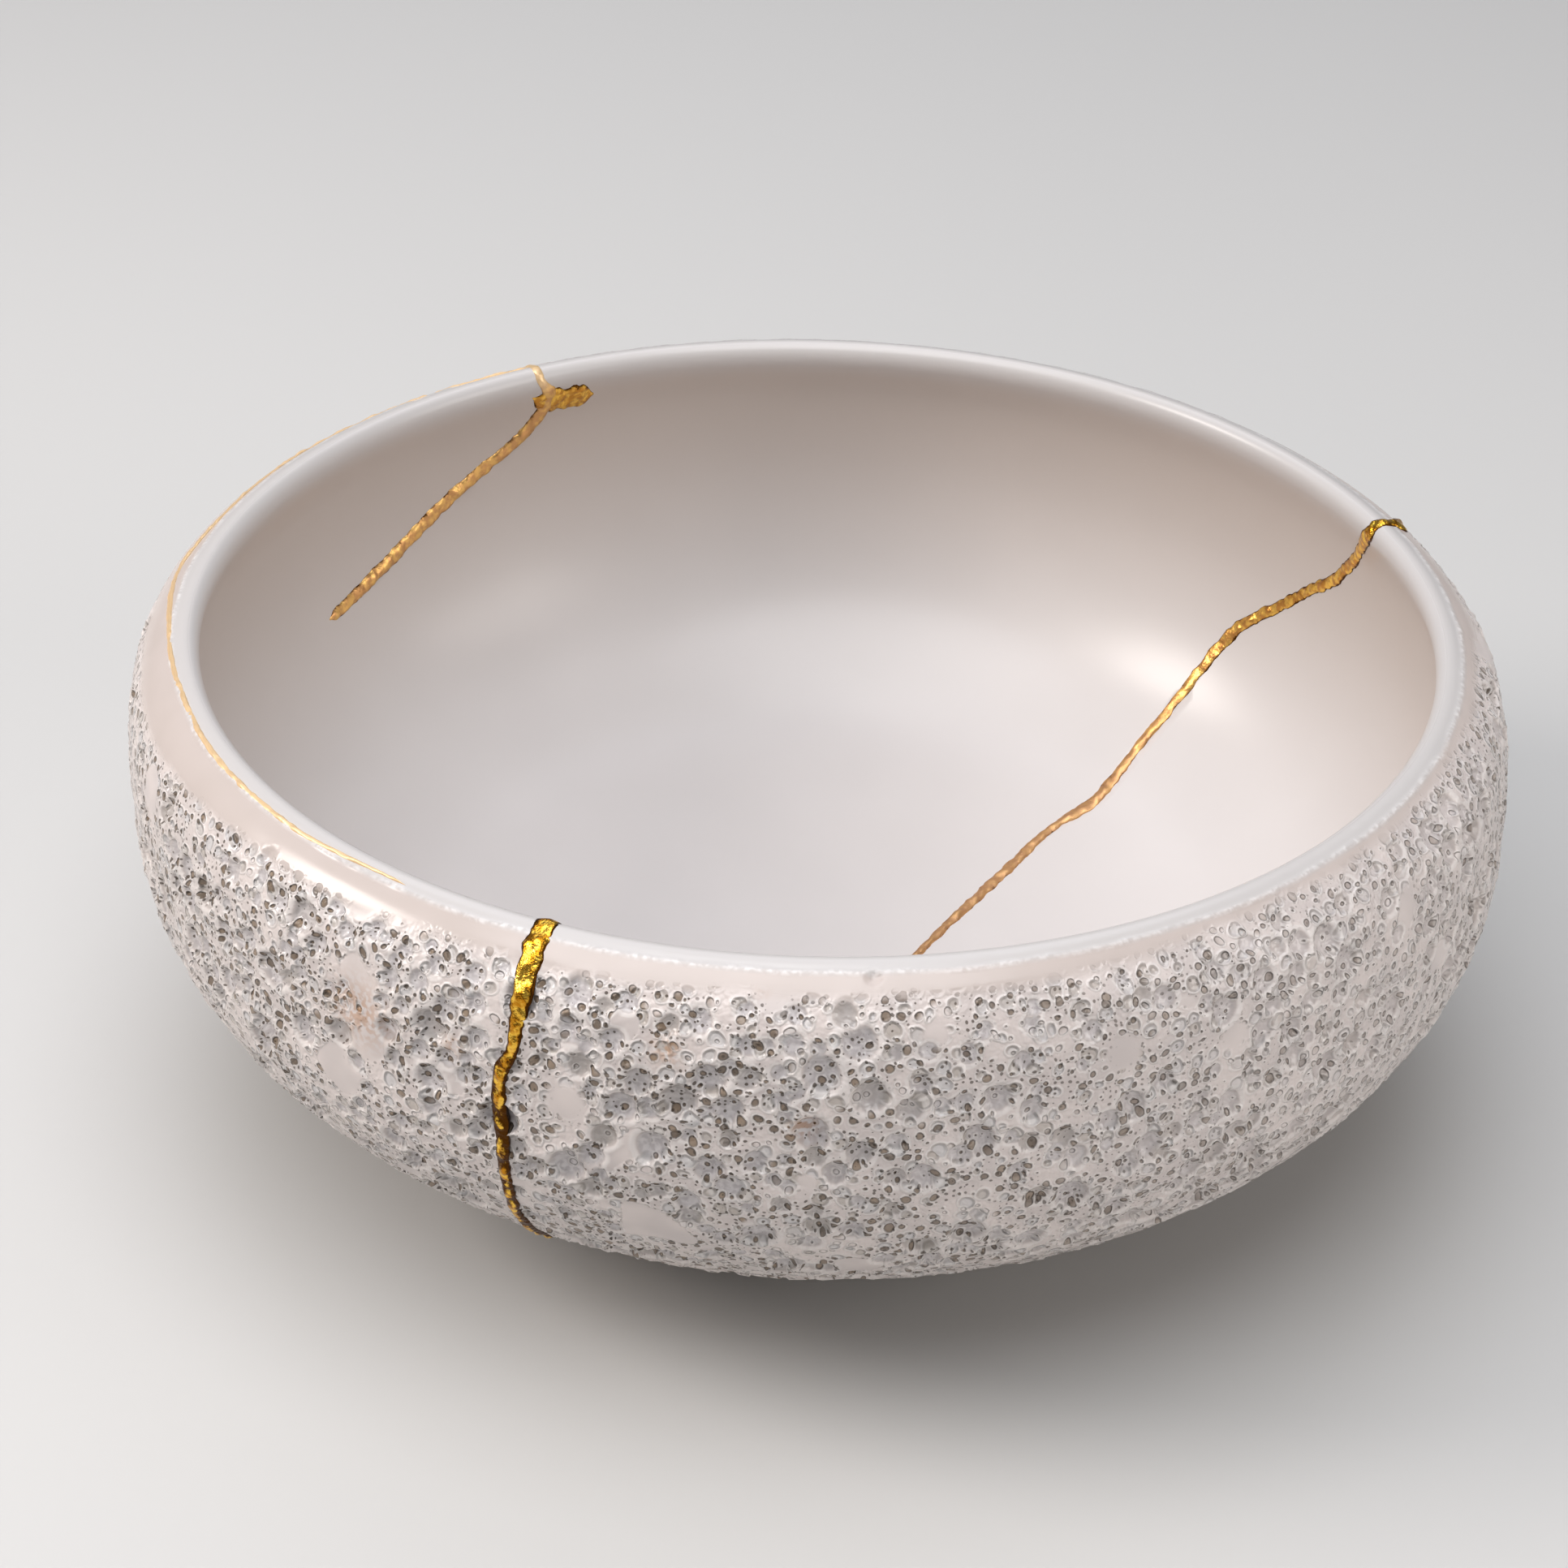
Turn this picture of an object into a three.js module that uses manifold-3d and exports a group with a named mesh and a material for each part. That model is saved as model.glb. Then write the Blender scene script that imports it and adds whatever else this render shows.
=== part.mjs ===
// A thrown stoneware bowl that broke in two and was joined again with gold lacquer.
// Millimetres, +Z up. The origin lies on the surface the bowl stands on, under the middle of its belly.
import * as THREE from "three";
import { mergeVertices } from "three/addons/utils/BufferGeometryUtils.js";
import Module from "manifold-3d";

// Driving dimensions
const BELLY_RADIUS = 75;
const BELLY_HEIGHT = 38.8;
const BELLY_DROP = 41.1;
const RIM_HEIGHT = 58.4;
const LIP_RADIUS = 68;
const MOUTH_RADIUS = 66.8;
const FLOOR_HEIGHT = 8.6;
const FOOT_OUTER = 37;
const FOOT_INNER = 31;
const FOOT_BEVEL = 0.7;
const BASE_HEIGHT = 2.4;
const LEAN = -1.75;
const SIDES = 72;
const HOLLOW_STEPS = 15;
const BELLY_STEPS = 8;
const SHOULDER_STEPS = 9;

// The gold lacquer: width of the joint, how far it stands proud, and the clearance beside it
const SEAM_WIDTH = 1.8;
const PROUD = 0.3;
const CLEARANCE = 0.3;
const FOOT_RELIEF = 0.2;

// Faces thinner than this, left by a cut, are taken up by their neighbours
const SLIVER = 0.01;

// How far a cutting blade reaches into the hollow, out through the wall and above the lip
const BLADE_INSIDE = 3;
const BLADE_OUTSIDE = 13;
const BLADE_ABOVE = 6;

// Both lines of the break are chains of [degrees round the bowl, millimetres up from the middle
// of the floor along the hollow's surface, width]. Degree 0 is +X and 90 is +Y, the far side.
const JOINT_LINE = [
  [248.2, 102.6, SEAM_WIDTH],
  [248.9, 96.5, SEAM_WIDTH],
  [248.5, 92.3, SEAM_WIDTH],
  [247.5, 89.6, SEAM_WIDTH],
  [247.2, 81, SEAM_WIDTH],
  [246.2, 71, SEAM_WIDTH],
  [244.4, 57, SEAM_WIDTH],
  [244.8, 44, SEAM_WIDTH],
  [247, 30.5, SEAM_WIDTH],
  [251, 21, SEAM_WIDTH],
  [267, 12.5, SEAM_WIDTH],
  [310, 7.1, SEAM_WIDTH],
  [4, 8.2, SEAM_WIDTH],
  [28.6, 12.6, SEAM_WIDTH],
  [39.3, 18.6, SEAM_WIDTH],
  [44.6, 26, SEAM_WIDTH],
  [48, 41.5, SEAM_WIDTH],
  [46.3, 48, SEAM_WIDTH],
  [46.4, 56.5, SEAM_WIDTH],
  [45, 67, SEAM_WIDTH],
  [42.3, 75.5, SEAM_WIDTH],
  [35.1, 84.2, SEAM_WIDTH],
  [29.3, 90.2, SEAM_WIDTH],
  [24.4, 97, SEAM_WIDTH],
  [20.2, 102.6, SEAM_WIDTH],
];
const BACK_CRACK = [
  [121.6, 102.6, 1.8],
  [120.4, 99.6, 3.4],
  [120.2, 96.6, 2.4],
  [121.2, 93.2, 1.5],
  [124.6, 90.8, 1.5],
  [130, 88, 1.5],
  [140.5, 82.5, 1.4],
  [149.7, 79.8, 1.2],
];
const JOINT_SECTIONS = 50;
const CRACK_SECTIONS = 16;

const CERAMIC = 0xcfc5bf;
const GOLD = 0xe2a92b;

const wasm = await Module();
wasm.setup();

const v2 = (r, z) => new THREE.Vector2(r, z);

// The hollow's own section, from the middle of the floor to the mouth: a nearly flat floor, a
// quick turn into the wall, and a wall that draws in a little under the lip.
const hollow = new THREE.SplineCurve([
  v2(0, FLOOR_HEIGHT),
  v2(20, 9),
  v2(36, 10.3),
  v2(48.5, 13.4),
  v2(56, 17.6),
  v2(62, 22.6),
  v2(66.5, 29.4),
  v2(69.2, 37.5),
  v2(69.6, 44),
  v2(68.9, 51),
  v2(67.4, 56),
  v2(MOUTH_RADIUS, 57.6),
]);
hollow.arcLengthDivisions = 600;

// The foot: a recessed base, then a low ring that the bowl stands on, up to where the ring
// meets the belly's curve.
function footProfile() {
  const meets = Math.acos(FOOT_OUTER / BELLY_RADIUS);
  return [
    v2(0, BASE_HEIGHT),
    v2(FOOT_INNER - FOOT_BEVEL, BASE_HEIGHT),
    v2(FOOT_INNER, BASE_HEIGHT - FOOT_BEVEL),
    v2(FOOT_INNER, FOOT_BEVEL),
    v2(FOOT_INNER + FOOT_BEVEL, 0),
    v2(FOOT_OUTER - FOOT_BEVEL, 0),
    v2(FOOT_OUTER, FOOT_BEVEL),
    v2(FOOT_OUTER, BELLY_HEIGHT - BELLY_DROP * Math.sin(meets)),
  ];
}

// The belly is a quarter of an ellipse, from the foot ring up to the widest part.
function bellyProfile(steps) {
  const meets = Math.acos(FOOT_OUTER / BELLY_RADIUS);
  const points = [];
  for (let i = 1; i <= steps; i++) {
    const turn = meets * (1 - i / steps);
    points.push(v2(BELLY_RADIUS * Math.cos(turn), BELLY_HEIGHT - BELLY_DROP * Math.sin(turn)));
  }
  return points;
}

// Above the belly the wall draws in slowly, then turns over the ridge of the glaze and the
// rounded lip into the mouth.
function shoulderProfile(steps) {
  const shoulder = new THREE.SplineCurve([
    v2(BELLY_RADIUS, BELLY_HEIGHT),
    v2(74.85, 46.5),
    v2(74.1, 51.6),
    v2(72.9, 54.6),
    v2(70.9, 56.8),
    v2(69.2, 57.8),
    v2(LIP_RADIUS, RIM_HEIGHT - 0.1),
  ]);
  const lip = [v2(67.3, RIM_HEIGHT), v2(66.85, RIM_HEIGHT - 0.35)];
  return [...shoulder.getPoints(steps).slice(1), ...lip];
}

function bowlProfile() {
  const inside = hollow.getSpacedPoints(HOLLOW_STEPS).reverse();
  return [...footProfile(), ...bellyProfile(BELLY_STEPS), ...shoulderProfile(SHOULDER_STEPS), ...inside];
}

// A profile moved outwards by a distance, square to its own line, and kept off the table.
function thickened(profile, distance, lowest) {
  return profile.map((point, i) => {
    const before = profile[Math.max(i - 1, 0)];
    const after = profile[Math.min(i + 1, profile.length - 1)];
    const along = after.clone().sub(before).normalize();
    const moved = v2(point.x + along.y * distance, point.y - along.x * distance);
    const onAxis = i === 0 || i === profile.length - 1;
    return v2(onAxis ? 0 : moved.x, Math.max(moved.y, lowest));
  });
}

// Handmade: the bowl leans a little, so that its rim sits to one side of its foot.
function leaned(geometry) {
  const slope = LEAN / RIM_HEIGHT;
  const shear = new THREE.Matrix4().makeShear(0, 0, 0, 0, slope, 0);
  geometry.applyMatrix4(shear);
  return geometry.translate(-slope * BELLY_HEIGHT, 0, 0);
}

function turned(profile) {
  return leaned(new THREE.LatheGeometry(profile, SIDES).rotateX(Math.PI / 2));
}

// The point of the hollow's surface at a place of the map, and the way out through the wall.
function wallFrame(place) {
  const reach = place.length();
  const length = hollow.getLength();
  const share = Math.min(reach / length, 1);
  const point = hollow.getPointAt(share);
  const along = hollow.getTangentAt(share);
  const round = Math.atan2(place.y, place.x);
  const [cos, sin] = [Math.cos(round), Math.sin(round)];
  const height = point.y + Math.max(reach - length, 0);
  return {
    at: new THREE.Vector3(point.x * cos, point.x * sin, height),
    out: new THREE.Vector3(along.y * cos, along.y * sin, -along.x),
  };
}

// A line of the break on the map of the hollow, where the distance from the middle is the reach.
// Each place carries its width. Ends on the rim run on above it.
function breakLine(waypoints, sections) {
  const onMap = ([degrees, reach, width]) => {
    const round = THREE.MathUtils.degToRad(degrees);
    return new THREE.Vector3(reach * Math.cos(round), reach * Math.sin(round), width);
  };
  const line = new THREE.CatmullRomCurve3(waypoints.map(onMap), false, "centripetal");
  return line.getSpacedPoints(sections);
}

function runOn(places, distance, atStart) {
  const [end, next] = atStart ? [places[0], places[1]] : [places.at(-1), places.at(-2)];
  const outward = v2(end.x - next.x, end.y - next.y).setLength(distance);
  const extra = new THREE.Vector3(end.x + outward.x, end.y + outward.y, end.z);
  return atStart ? [extra, ...places] : [...places, extra];
}

// The blade that follows a line of the break square through the wall: a ribbon of four-cornered
// sections, closed at both ends. It is wider than the line by the clearance given.
function blade(places, clearance) {
  const frames = places.map((place) => wallFrame(v2(place.x, place.y)));
  const corners = [];
  frames.forEach(({ at, out }, i) => {
    const before = frames[Math.max(i - 1, 0)].at;
    const after = frames[Math.min(i + 1, frames.length - 1)].at;
    const along = after.clone().sub(before).normalize();
    const side = out.clone().cross(along).setLength(places[i].z / 2 + clearance);
    const inner = at.clone().addScaledVector(out, -BLADE_INSIDE);
    const outer = at.clone().addScaledVector(out, BLADE_OUTSIDE);
    corners.push(inner.clone().add(side), inner.clone().sub(side));
    corners.push(outer.clone().sub(side), outer.clone().add(side));
  });
  const faces = [];
  for (let i = 0; i < frames.length - 1; i++) {
    for (let k = 0; k < 4; k++) {
      const [a, b] = [4 * i + k, 4 * i + ((k + 1) % 4)];
      faces.push(a, b + 4, b, a, a + 4, b + 4);
    }
  }
  const last = corners.length - 4;
  faces.push(0, 1, 2, 0, 2, 3);
  faces.push(last, last + 2, last + 1, last, last + 3, last + 2);
  const geometry = new THREE.BufferGeometry().setFromPoints(corners).setIndex(faces);
  return leaned(geometry);
}

function solid(geometry) {
  const bare = geometry.clone();
  bare.deleteAttribute("normal");
  bare.deleteAttribute("uv");
  const merged = mergeVertices(bare, 1e-4);
  const triVerts = new Uint32Array(merged.index.array);
  const vertProperties = merged.attributes.position.array;
  return new wasm.Manifold(new wasm.Mesh({ numProp: 3, vertProperties, triVerts }));
}

function namedMesh(name, body, material) {
  const { vertProperties, triVerts } = body.simplify(SLIVER).getMesh();
  const geometry = new THREE.BufferGeometry();
  geometry.setAttribute("position", new THREE.BufferAttribute(vertProperties, 3));
  geometry.setIndex(new THREE.BufferAttribute(triVerts, 1));
  geometry.computeVertexNormals();
  const mesh = new THREE.Mesh(geometry, material);
  mesh.name = name;
  return mesh;
}

function glazedCeramic() {
  return new THREE.MeshStandardMaterial({ color: CERAMIC, roughness: 0.3, metalness: 0 });
}

function goldLacquer() {
  return new THREE.MeshStandardMaterial({ color: GOLD, roughness: 0.3, metalness: 1 });
}

const jointLine = breakLine(JOINT_LINE, JOINT_SECTIONS);
const jointBlade = runOn(runOn(jointLine, BLADE_ABOVE, true), BLADE_ABOVE, false);
const crackLine = breakLine(BACK_CRACK, CRACK_SECTIONS);
const crackBlade = runOn(crackLine, BLADE_ABOVE, true);

const bowl = solid(turned(bowlProfile()));
const proudBowl = solid(turned(thickened(bowlProfile(), PROUD, FOOT_RELIEF)));

// The break parts the bowl in two shards, and the crack stays inside the left one.
const shards = bowl
  .subtract(solid(blade(jointBlade, CLEARANCE)))
  .decompose()
  .sort((a, b) => a.boundingBox().min[0] - b.boundingBox().min[0]);
const leftShard = shards[0].subtract(solid(blade(runOn(crackBlade, CLEARANCE, false), CLEARANCE)));
const rightShard = shards[1];
const goldJoint = proudBowl.intersect(solid(blade(jointBlade, 0)));
const crackGold = proudBowl.intersect(solid(blade(crackBlade, 0)));

const kintsugiBowl = new THREE.Group();
kintsugiBowl.add(namedMesh("left_shard", leftShard, glazedCeramic()));
kintsugiBowl.add(namedMesh("right_shard", rightShard, glazedCeramic()));
kintsugiBowl.add(namedMesh("gold_joint", goldJoint, goldLacquer()));
kintsugiBowl.add(namedMesh("gold_back_crack", crackGold, goldLacquer()));

export default kintsugiBowl;
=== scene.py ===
from functools import reduce

import bpy
import numpy as np
from bpy.props import FloatProperty, FloatVectorProperty, IntProperty, PointerProperty
from mathutils import Matrix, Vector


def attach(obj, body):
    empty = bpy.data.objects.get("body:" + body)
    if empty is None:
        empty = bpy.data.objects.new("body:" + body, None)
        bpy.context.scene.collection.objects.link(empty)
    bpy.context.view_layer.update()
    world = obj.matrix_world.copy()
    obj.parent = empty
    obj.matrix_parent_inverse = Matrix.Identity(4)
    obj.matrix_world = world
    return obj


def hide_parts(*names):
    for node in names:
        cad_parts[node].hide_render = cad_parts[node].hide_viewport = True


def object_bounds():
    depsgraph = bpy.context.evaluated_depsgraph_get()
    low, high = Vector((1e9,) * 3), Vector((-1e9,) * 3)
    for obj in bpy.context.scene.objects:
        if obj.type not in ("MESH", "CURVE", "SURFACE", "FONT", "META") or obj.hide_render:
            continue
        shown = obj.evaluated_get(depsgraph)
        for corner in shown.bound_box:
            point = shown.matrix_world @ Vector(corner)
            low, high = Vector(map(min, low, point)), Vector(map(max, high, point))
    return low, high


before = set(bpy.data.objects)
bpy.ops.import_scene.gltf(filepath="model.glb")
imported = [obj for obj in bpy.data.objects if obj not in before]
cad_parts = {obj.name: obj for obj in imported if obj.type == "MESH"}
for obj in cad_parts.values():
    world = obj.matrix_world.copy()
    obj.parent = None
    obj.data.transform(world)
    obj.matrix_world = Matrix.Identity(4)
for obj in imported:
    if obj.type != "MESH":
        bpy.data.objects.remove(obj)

bl_info = {
    "name": "Kintsugi bowl",
    "version": (1, 0, 0),
    "blender": (4, 5, 0),
    "location": "View3D > Sidebar > Bowl",
    "description": "A crater-glazed stoneware bowl, broken in two and joined again with gold lacquer",
    "category": "Add Mesh",
}

# Arrays of places are in millimetres, as a potter measures; meshes and properties are in metres.
MM = 0.001
CAD_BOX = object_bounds()
# How far every mesh stays inside the CAD box, and the spacing of points along lines of the map.
BOX_MARGIN = 0.002
MAP_STEP = 0.1

# The hollow's section, from the middle of the floor to the mouth, as (radius, height).
HOLLOW = [
    (0, 8.6), (20, 9), (36, 10.3), (48.5, 13.4), (56, 17.6), (62, 22.6),
    (66.5, 29.4), (69.2, 37.5), (69.6, 44), (68.8, 50.3), (67.3, 54.2), (66.5, 56),
]
# The shoulder's section above the belly, over the ridge of the glaze and up to the lip.
SHOULDER = [(75, 38.8), (74.85, 46.5), (74.1, 51.6), (72.9, 54.6), (70.9, 56.8), (69.2, 57.8), (68, 58.3)]
LIP = [(67.35, 58.3), (66.75, 57.9), (66.4, 57.1)]
# How far the mouth is from the middle of the floor, along the hollow.
MOUTH_REACH = 102.66
FOOT = [(0, 2.4), (30.3, 2.4), (31, 1.7), (31, 0.7), (31.7, 0), (36.3, 0), (37, 0.7)]
# The wall outside starts at this height, over the foot. Its radius, and that of its shoulder, turn
# angles into lengths.
WALL_FROM = 10
WALL_RADIUS = 73
SHOULDER_RADIUS = 72
# The height of the ridge where the glaze of the lip ends.
RIDGE_HEIGHT = 57.8
# How wide the ridge is to each side of its top, and how far it stands up.
RIDGE_SPREAD, RIDGE_RISE = 0.22, 0.11

# The break and the crack, as (degrees round the bowl, millimetres up from the middle of the floor
# along the hollow, width of the gold). Degree 0 is +X and 90 is +Y, the far side.
JOINT_LINE = [
    (249.1, 102.6, 2.4), (248.9, 96.5, 2), (248.5, 92.3, 1.2), (247.5, 89.6, 1.6),
    (247.2, 81, 1.4), (246.2, 71, 1.2), (244.4, 57, 1.1), (244.8, 44, 1.4), (247, 30.5, 1.4),
    (251, 21, 1.4), (267, 12.5, 1.3), (310, 7.1, 1.3), (4, 8.2, 1.3), (28.6, 12.6, 1.2),
    (39.3, 18.6, 1.3), (44.6, 26, 1.7), (48, 41.5, 1.5), (46.3, 48, 1.9), (46.4, 56.5, 1.5),
    (45, 67, 1.7), (42.3, 75.5, 1.9), (35.1, 84.2, 1.6), (29.3, 90.2, 1.8), (24.4, 97, 1.5),
    (20.2, 102.6, 1.9),
]
BACK_CRACK = [
    (121.6, 102.6, 1.7), (120.4, 99.6, 1.9), (121, 96.6, 2.0), (123.4, 93.2, 1.9),
    (127, 90.6, 1.8), (131.4, 87.8, 1.8), (140.5, 82.6, 1.8), (149.7, 79.8, 1.5),
]
# The chip on the inner lip that the back crack runs into, filled with gold.
CHIP = [(122.4, 99.8, 1.2), (121, 99, 3), (118.8, 98.5, 4.2), (116.6, 98.3, 4.2), (115.2, 98.3, 3.2)]
# A hairline along the ridge of the left shoulder, as (degrees, radius from the axis, width).
HAIRLINE = [
    (121.6, 68.6, 0.45), (135, 69.4, 0.5), (152, 70.2, 0.55), (169, 70.2, 0.6), (176, 70.7, 0.65),
    (188, 69.4, 0.65), (196, 69.1, 0.6), (210, 69.1, 0.6), (224, 69, 0.55), (236.5, 68.7, 0.25),
]

# The front's most striking craters, as (degrees, height, radius).
MAIN_CRATERS = [
    (271.3, 50.0, 2.04), (264.6, 45.6, 1.68), (262.5, 54.3, 1.4), (260.3, 53.6, 1.18), (257.1, 55.0, 1.19),
    (274.0, 53.0, 1.92), (273.1, 55.3, 1.4), (263.2, 38.6, 1.7), (258.1, 47.5, 1.57), (258.9, 44.9, 1.31),
    (245.0, 54.3, 1.32), (245.4, 51.7, 1.24), (245.6, 48.1, 1.44), (250.8, 52.6, 1.05), (250.2, 54.9, 1.05),
    (256.1, 51.3, 1.41), (265.8, 55.4, 1.03), (268.4, 47.1, 1.12), (268.3, 50.0, 0.93), (267.3, 52.5, 0.92),
    (277.5, 46.0, 1.42), (278.4, 48.7, 1.3), (281.4, 46.6, 1.12), (264.7, 42.4, 1.05), (266.5, 40.0, 1.32),
    (274.0, 41.3, 1.5), (272.2, 39.0, 1.43), (254.7, 35.9, 1.15), (275.3, 57.6, 0.74), (286.7, 53.5, 1.02),
    (287.1, 54.9, 0.93), (291.2, 52.1, 1.17), (295.5, 54.0, 1.13), (297.3, 53.5, 1.32), (294.3, 55.8, 0.85),
    (309.0, 56.2, 1.06), (307.9, 54.4, 1.06), (308.0, 50.5, 1.21), (306.8, 40.8, 1.08), (304.5, 44.5, 1.07),
    (300.8, 51.8, 1.05), (281.9, 51.5, 1.16), (285.9, 50.1, 1.17), (294.3, 43.1, 1.72), (292.5, 41.9, 1.34),
    (241.6, 54.0, 1.14), (238.8, 54.2, 0.95), (235.8, 54.9, 1.15), (230.4, 51.2, 1.46), (231.6, 55.0, 1.16),
    (237.3, 48.5, 0.96), (234.5, 39.9, 0.98), (238.3, 42.4, 1.16), (232.1, 47.0, 0.97), (223.0, 55.5, 1.08),
    (244.8, 45.4, 1.05), (241.4, 38.4, 1.36), (239.0, 48.7, 0.96),
]
# Where the front's glaze stayed smooth, and where iron stained it, as (degrees, height, size).
PLATEAUS = [(252.6, 43.6, 2.9), (279.6, 53.4, 1.7), (293.6, 49.0, 2.6), (268, 57, 2.4), (303, 47.5, 2.2)]
STAINS = [(260.2, 51.2, 1.3), (267.0, 57.3, 0.7), (235.0, 46.0, 3.0), (243.5, 46.5, 0.9), (270, 44, 1.2)]
# Where the smooth band is wider and where it is narrower, as (degrees, spread in radians, share).
BAND_SWELLS = [(195, 0.5, 0.9), (328, 0.65, -0.5)]
# Where the colours of pools and pits are weaker, in the same way: painted light that makes the front right
# side, where the fill lamp falls, look paler.
LIT_SIDE = (322, 0.55, 0.6)

# The lamps, as (name, degrees round, degrees up, metres away, metres across, watts, colour).
LAMPS = [
    ("key", 187, 35, 0.9, 0.36, 4.5, "#FFF7F1"),
    ("back", 95, 64, 1.0, 0.8, 2.4, "#EEF3FF"),
    ("overhead", 250, 72, 0.8, 0.75, 4.9, "#FBFCFF"),
    ("fill", 338, 18, 1.3, 0.8, 5.6, "#FFF9F4"),
]
# The paper under the bowl is 4 m wide.
FLOOR_HALF_WIDTH = 2000.0


def linear(code):
    """The linear colour, with alpha, of an sRGB hex code such as #D8D6D4."""
    srgb = np.array([int(code[i:i + 2], 16) for i in (1, 3, 5)]) / 255
    value = np.where(srgb <= 0.04045, srgb / 12.92, ((srgb + 0.055) / 1.055) ** 2.4)
    return (*value.tolist(), 1.0)


def smoothstep(low, high, x):
    """0 below low and 1 above high, with 3t^2 - 2t^3 between them. Low may be the larger."""
    t = np.clip((x - low) / (high - low), 0, 1)
    return t * t * (3 - 2 * t)


def turn_between(start, angle):
    """The turn from one angle to another, between minus half a turn and half a turn."""
    return (angle - start + np.pi) % (2 * np.pi) - np.pi


def curve_through(points, steps):
    """Points evenly spread over a centripetal Catmull-Rom curve: between two knots it is the cubic
    with their places and slopes, and a slope comes from the parabola through three knots."""
    p = np.array(points, float)
    knot = np.r_[0, np.cumsum(np.sqrt(np.linalg.norm(np.diff(p[:, :2], axis=0), axis=1)))]
    gap = np.diff(knot)[:, None]
    chord = np.diff(p, axis=0) / gap
    inner = (chord[:-1] * gap[1:] + chord[1:] * gap[:-1]) / (gap[:-1] + gap[1:])
    slope = np.concatenate([chord[:1], inner, chord[-1:]])
    at = np.linspace(0, knot[-1], steps)
    k = np.clip(np.searchsorted(knot, at, side="right") - 1, 0, len(p) - 2)
    t = ((at - knot[k]) / gap[k, 0])[:, None]
    h = gap[k]
    return (
        (1 + 2 * t) * (1 - t) ** 2 * p[k] + t * (1 - t) ** 2 * h * slope[k]
        + t ** 2 * (3 - 2 * t) * p[k + 1] + t ** 2 * (t - 1) * h * slope[k + 1]
    )


def lengths(points):
    """Distance along a chain of points, from its first point to each."""
    return np.r_[0, np.cumsum(np.linalg.norm(np.diff(points, axis=0), axis=1))]


def resampled(points, spacing):
    """The chain of points with even steps of about the spacing along it."""
    along = lengths(points)
    steps = max(int(round(along[-1] / spacing)), 2) + 1
    at = np.linspace(0, along[-1], steps)
    return np.stack([np.interp(at, along, column) for column in points.T], axis=1)


def noise_at(size, seed, *coordinates):
    """Smooth noise from -1 to 1 at places given in millimetres by up to three coordinates: random
    values on a turned lattice of cells of the size, blended by smoothstep. A cell's value is found
    in a table by its three numbers."""
    entries = 8192
    values = np.random.default_rng(seed).uniform(-1, 1, entries)
    x, y, z = (*coordinates, 0, 0)[:3]
    turned = (
        (0.80 * x + 0.36 * y - 0.48 * z) / size,
        (-0.60 * x + 0.48 * y - 0.64 * z) / size,
        (0.80 * y + 0.60 * z) / size,
    )
    cell = [np.floor(axis).astype(int) for axis in turned]
    part = [smoothstep(0, 1, axis - start) for axis, start in zip(turned, cell)]
    result = 0
    for corner in np.ndindex(2, 2, 2):
        i, j, k = (start + step for start, step in zip(cell, corner))
        share = 1
        for step, fraction in zip(corner, part):
            share = share * (fraction if step else 1 - fraction)
        result = result + share * values[(i * 73 + j * 179 + k * 983) % entries]
    return result


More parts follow.
